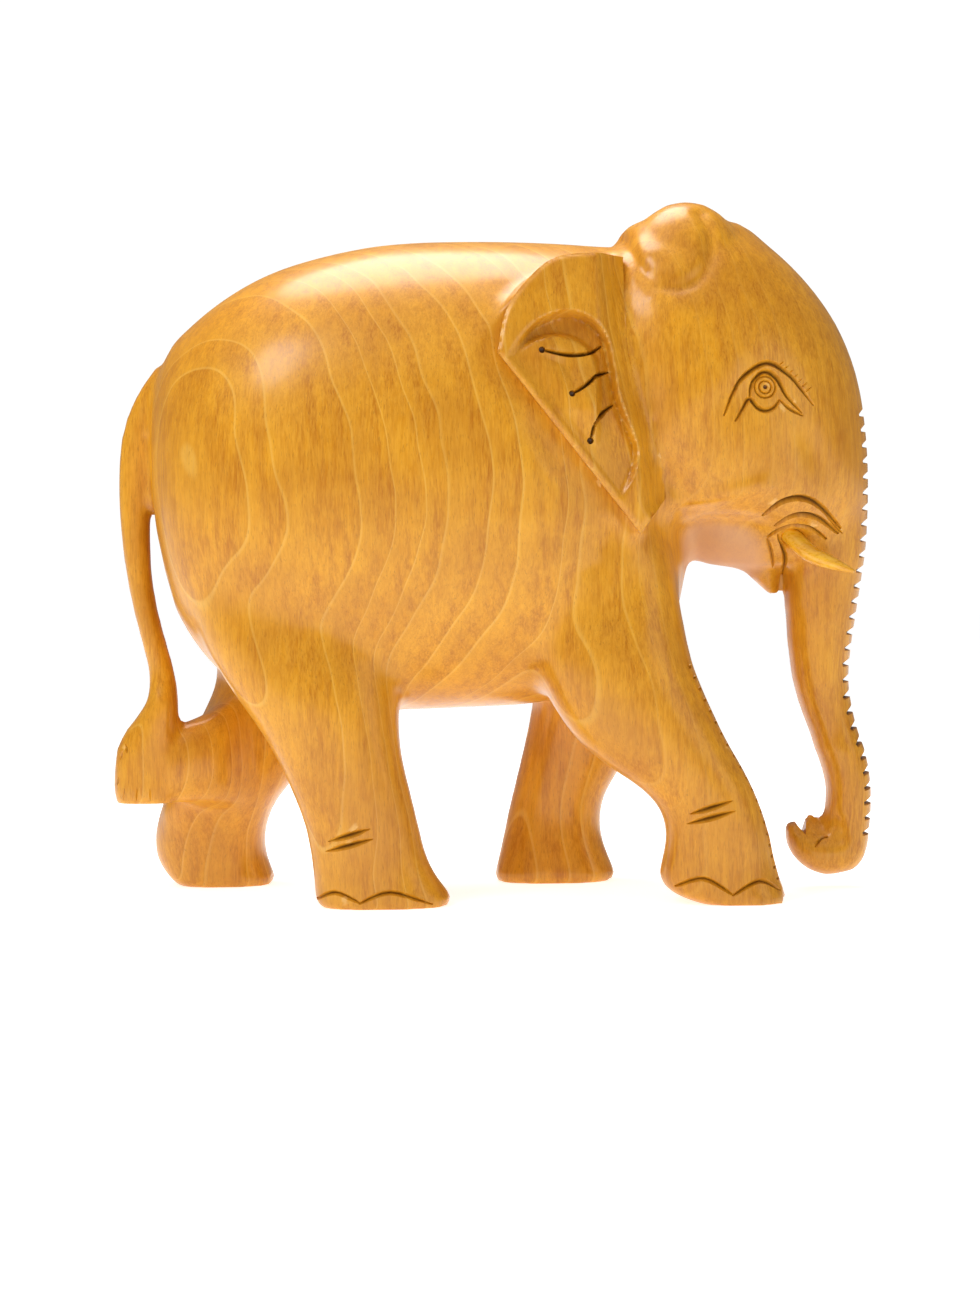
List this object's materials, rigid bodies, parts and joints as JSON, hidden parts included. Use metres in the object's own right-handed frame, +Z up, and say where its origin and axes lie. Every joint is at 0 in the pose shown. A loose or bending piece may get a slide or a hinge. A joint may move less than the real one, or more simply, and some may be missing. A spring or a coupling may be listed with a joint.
{
  "type": "carved elephant figurine",
  "caption": "Striding elephant carved from one block of pale hardwood, with hollowed ears, a twin-domed head, a curled trunk and short glued tusks.",
  "frame": {"origin": "on the ground, under the middle of the carving's bounding box", "axes": "+Z up; +X from the tail to the trunk; the elephant's right side faces -Y"},
  "size_m": [0.1416, 0.0602, 0.127],
  "materials": {
    "wood": "honey-coloured satin lacquer over close-grained hardwood",
    "tusk": "yellow gloss lacquer"
  },
  "bodies": {
    "root": {"carved_body": "wood", "tusk_right": "tusk", "tusk_left": "tusk"}
  },
  "joints": []
}
